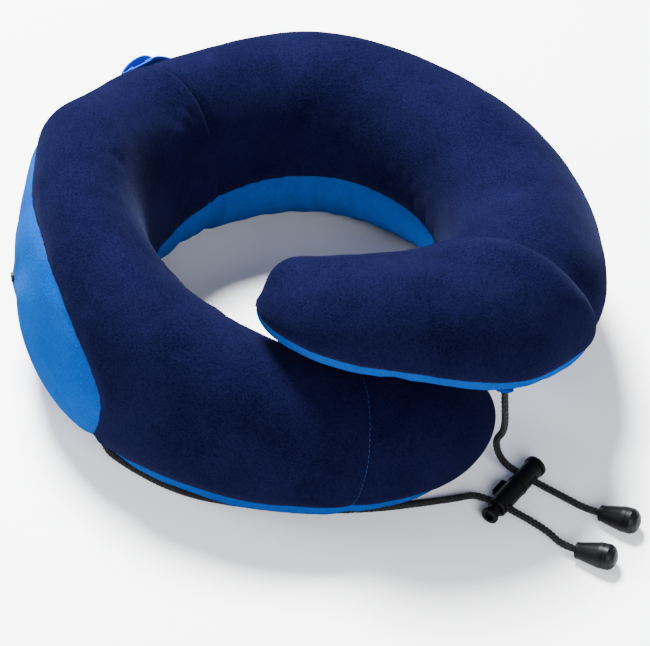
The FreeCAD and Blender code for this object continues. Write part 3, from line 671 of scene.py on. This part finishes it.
def frames(line):
    """Two directions square to the line at each point, turning as little as they can."""
    way = np.gradient(line, axis=0)
    way /= np.linalg.norm(way, axis=1)[:, None]
    side = np.cross(way[0], (0.31, 0.22, 0.93))
    sides = []
    for direction in way:
        side = side - direction * (side @ direction)
        side = side / np.linalg.norm(side)
        sides.append(side)
    sides = np.array(sides)
    return sides, np.cross(way, sides)


def tube(line, radius, count=6):
    """Vertices and faces of a closed-ended tube round a line."""
    across, up = frames(line)
    turns = np.linspace(0, 2 * math.pi, count, endpoint=False)
    rings = line[:, None] + radius * (
        np.cos(turns)[None, :, None] * across[:, None] + np.sin(turns)[None, :, None] * up[:, None]
    )
    return rings.reshape(-1, 3), ring_faces(len(line), count)


def joined(parts):
    """One set of vertices and faces from several."""
    points, faces, start = [], [], 0
    for part, some in parts:
        points.append(part)
        faces += [tuple(v + start for v in face) for face in some]
        start += len(part)
    return np.vstack(points), faces


CORD_THICK, CORE_RADIUS, STRAND_RADIUS = 0.0032, 0.00118, 0.00047
STRAND_COUNT, BRAID_PITCH = 8, 0.0088


def nurbs(name, points, radius):
    """A cord's curve through the route's own points, with a round bevel or none."""
    data = bpy.data.curves.new(name, "CURVE")
    data.dimensions = "3D"
    spline = data.splines.new("NURBS")
    spline.points.add(len(points) - 1)
    for place, point in zip(spline.points, points):
        place.co = (*point, 1)
    spline.order_u = 3
    spline.use_endpoint_u = True
    spline.resolution_u = 16
    data.bevel_depth, data.bevel_resolution, data.use_fill_caps = radius, 5, True
    data.materials.append(BRAID)
    obj = bpy.data.objects.new(name, data)
    bpy.context.scene.collection.objects.link(obj)
    return obj


def centreline(points):
    """Points along the cord's curve, in metres."""
    obj = nurbs("centreline", points, 0)
    bpy.context.view_layer.update()
    mesh = bpy.data.meshes.new_from_object(obj.evaluated_get(bpy.context.evaluated_depsgraph_get()))
    line = np.array([tuple(v.co) for v in mesh.vertices])
    data = obj.data
    bpy.data.objects.remove(obj)
    bpy.data.curves.remove(data)
    bpy.data.meshes.remove(mesh)
    return resampled(line, 0.0005)


def braided(name, line, places):
    """Plaited strands round a line: half of them each way, passing over and under."""
    across, up = frames(line)
    parts = []
    for strand in range(STRAND_COUNT):
        way = 1 if strand % 2 else -1
        turn = way * places / BRAID_PITCH * 2 * math.pi + (strand // 2) * math.pi / 2 + way * 0.4
        reach = 0.00122 + 0.00026 * np.cos(4 * turn) * way
        centre = line + reach[:, None] * (np.cos(turn)[:, None] * across + np.sin(turn)[:, None] * up)
        parts.append(tube(centre, STRAND_RADIUS, 6))
    return mesh_object(name, *joined(parts), BRAID)


LEFT_ROUTE = [
    (-0.1066, -0.0789, 0.0047), (-0.1042, -0.085, 0.0026), (-0.0982, -0.09, 0.0019),
    (-0.0873, -0.0988, 0.0019), (-0.0747, -0.1072, 0.0019), (-0.06, -0.114, 0.0019),
    (-0.042, -0.1184, 0.0019), (-0.022, -0.1216, 0.0019), (0, -0.1234, 0.0019),
    (0.018, -0.1229, 0.0019), (0.034, -0.1213, 0.0019), (0.05, -0.1186, 0.0019),
    (0.066, -0.1163, 0.0026), (0.0778, -0.1158, 0.0057), (0.1078, -0.1383, 0.0057),
    (0.1154, -0.148, 0.0036), (0.127, -0.153, 0.00545),
]
RIGHT_ROUTE = [
    (0.0877, -0.0967, 0.0585), (0.0879, -0.1014, 0.0508), (0.0886, -0.103, 0.0415),
    (0.0878, -0.1014, 0.0325), (0.0857, -0.096, 0.0235), (0.0863, -0.0947, 0.0146),
    (0.0889, -0.0966, 0.009), (0.0934, -0.1, 0.0057), (0.121, -0.1207, 0.0057),
    (0.1289, -0.1244, 0.0036), (0.1402, -0.1302, 0.00545),
]


def add_left_cord():
    line, places = centreline(LEFT_ROUTE)
    core = nurbs("draw_cord_left_core", LEFT_ROUTE, CORE_RADIUS)
    plait = braided("draw_cord_left_plait", line, places)
    for obj in (core, plait):
        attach(obj, "pillow")
    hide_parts("draw_cord_left")


def add_right_cord():
    line, places = centreline(RIGHT_ROUTE)
    core = mesh_object("draw_cord_right_core", *tube(line, CORE_RADIUS, 16), BRAID)
    plait = braided("draw_cord_right_plait", line, places)
    for obj in (core, plait):
        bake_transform(obj)
    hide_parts("draw_cord_right")


add_left_cord()
add_right_cord()


def ribbon(line, up, wide, thick):
    """A ribbed strip along a line; up is the direction of its width."""
    way = np.gradient(line, axis=0)
    way /= np.linalg.norm(way, axis=1)[:, None]
    out = np.cross(way, up)
    places = np.concatenate([[0], np.cumsum(np.linalg.norm(np.diff(line, axis=0), axis=1))])
    ribs = 1 + 0.16 * np.sin(places / 0.95 * 2 * math.pi)
    shape = [(-1, -0.3), (-0.96, -0.8), (-0.85, -1)] + [(x, -1) for x in np.linspace(-0.7, 0.7, 7)]
    shape += [(0.85, -1), (0.96, -0.8), (1, -0.3)]
    shape = np.array(shape + [(-x, -y) for x, y in shape])
    rings = line[:, None] + shape[None, :, 0:1] * up * wide / 2 + (
        shape[None, :, 1:2] * ribs[:, None, None] * thick / 2 * out[:, None]
    )
    return rings.reshape(-1, 3), ring_faces(len(line), len(shape))


def add_hang_loop():
    """Webbing folded to a flat loop: X away from the wall, Y along it, Z across the webbing."""
    arch = [(-0.1, 6), (-0.2, -6), (0.2, -8), (2.2, -8.4), (4.6, -5.6), (5.0, -1.5), (4.3, 3)]
    arch += [(3.0, 7), (1.4, 10.5), (0.2, 11.4), (-0.1, 9), (0.9, 4)]
    tail = [(0.6, -4), (0.5, -8), (0.2, -11), (-1.8, -14), (-5.2, -16.5)]
    strips = []
    for points in (arch, tail):
        smooth = np.array(rounded(points))
        line = np.column_stack([smooth, np.full(len(smooth), 4.25)])
        line, _ = resampled(line, 0.24)
        strips.append(ribbon(line, np.array([0, 0, 1.0]), 8.3, 1.15))
    points, faces = joined(strips)
    turn = Matrix.Rotation(math.radians(180 - 48.5), 3, "Z")
    spot = turn @ Vector((143.9, 0, 86))
    turn = turn @ Matrix.Rotation(math.radians(-12), 3, "Y")
    points = points @ np.array(turn).T + np.array(spot)
    obj = mesh_object("hang_loop_webbing", points * MM, faces, WEBBING)
    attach(obj, "hang_loop")
    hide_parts("hang_loop")


add_hang_loop()


def add_zip_coil():
    """The closed zip's coil: one wire wound across both tapes."""
    turns = 100
    phase = np.linspace(0, turns * 2 * math.pi, turns * 14)
    bearing = np.radians(180 - (-1.6 + phase / phase[-1] * 54))
    radius, height = 154.0 + 0.42 * np.sin(phase), 47 + 1.3 * np.cos(phase)
    line = np.column_stack([radius * np.cos(bearing), radius * np.sin(bearing), height])
    points, faces = tube(line, 0.33, 6)
    obj = mesh_object("zip_coil_wire", points * MM, faces, PLASTIC)
    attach(obj, "pillow")
    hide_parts("zip_coil")


add_zip_coil()


def add_stitches():
    """The row of stitches that closes the low arm's cross seam."""
    degrees = np.linspace(-20, 165, 400)
    stations = np.interp(degrees, *zip(*TIP_SEAM))
    spots = [on_cover(angle, math.radians(turn)) for angle, turn in zip(stations, degrees)]
    line, _ = resampled([point + normal * 0.12 for point, normal in spots], 0.2)
    parts = []
    for start in range(0, len(line) - 10, 13):
        parts.append(tube(line[start:start + 9], 0.14, 6))
    points, faces = joined(parts)
    obj = mesh_object("tip_seam_stitches", points * MM, faces, THREAD)
    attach(obj, "pillow")


add_stitches()

CAD_LOOKS = (
    (TAPE, "zip_tape_upper", "zip_tape_lower"),
    (METAL, "zip_stop_front", "zip_stop_back", "zip_slider", "zip_pull"),
    (BLUE_THREAD, "cord_exit"),
    (PLASTIC, "lock_barrel", "lock_plunger", "cord_end_cone_left", "cord_end_cone_right"),
    (PLASTIC, "cord_end_cap_left", "cord_end_cap_right"),
    (STEEL, "lock_spring"), (BRAID, "cord_knot_left", "cord_knot_right"),
    (FOAM, "foam_core", "foam_raised_arm"),
    (NAVY, "cover_low_tip", "cover_front", "cover_back", "cover_raised_arm"),
    (BLUE, "panel_side", "panel_underside", "panel_raised_underside"),
    (WEBBING, "hang_loop"), (PLASTIC, "zip_coil"), (BRAID, "draw_cord_left", "draw_cord_right"),
)
for look, *names in CAD_LOOKS:
    for name in names:
        data = bpy.data.objects[name].data
        data.materials.clear()
        data.materials.append(look)


# ---------------------------------------------------------------- stage and light
def add_floor():
    n = Nodes("floor_paper")
    grain = n.noise(300, 2, 0.5)
    n.set(
        Base_Color=(0.86, 0.87, 0.89, 1), Roughness=0.5, Specular_IOR_Level=0.3,
        Normal=n.bump(grain, 0.0001, 0.2),
    )
    half, below = 6, -0.0002
    corners = [(x * half, y * half, below) for x, y in ((-1, -1), (1, -1), (1, 1), (-1, 1))]
    floor = mesh_object("floor", corners, [(0, 1, 2, 3)], n.material, False)


def area_light(name, place, aim, size, power, colour=(1, 1, 1)):
    data = bpy.data.lights.new(name, "AREA")
    data.shape, data.size, data.energy, data.color = "DISK", size, power, colour
    light = bpy.data.objects.new(name, data)
    bpy.context.scene.collection.objects.link(light)
    light.location = place
    light.rotation_mode = "QUATERNION"
    light.rotation_quaternion = (Vector(aim) - Vector(place)).to_track_quat("-Z", "Y")


add_floor()
area_light("key", (-0.34, 0.78, 1.5), (0, 0, 0.05), 0.6, 265)
area_light("front", (0.5, -1.5, 0.95), (0.05, -0.2, 0.0), 1.0, 45)
area_light("side", (-1.5, 0.0, 0.9), (-0.05, 0, 0.05), 0.9, 25)
world = bpy.data.worlds.new("studio")
world.use_nodes = True
world.node_tree.nodes["Background"].inputs["Color"].default_value = (0.95, 0.97, 1, 1)
world.node_tree.nodes["Background"].inputs["Strength"].default_value = 0.46
bpy.context.scene.world = world
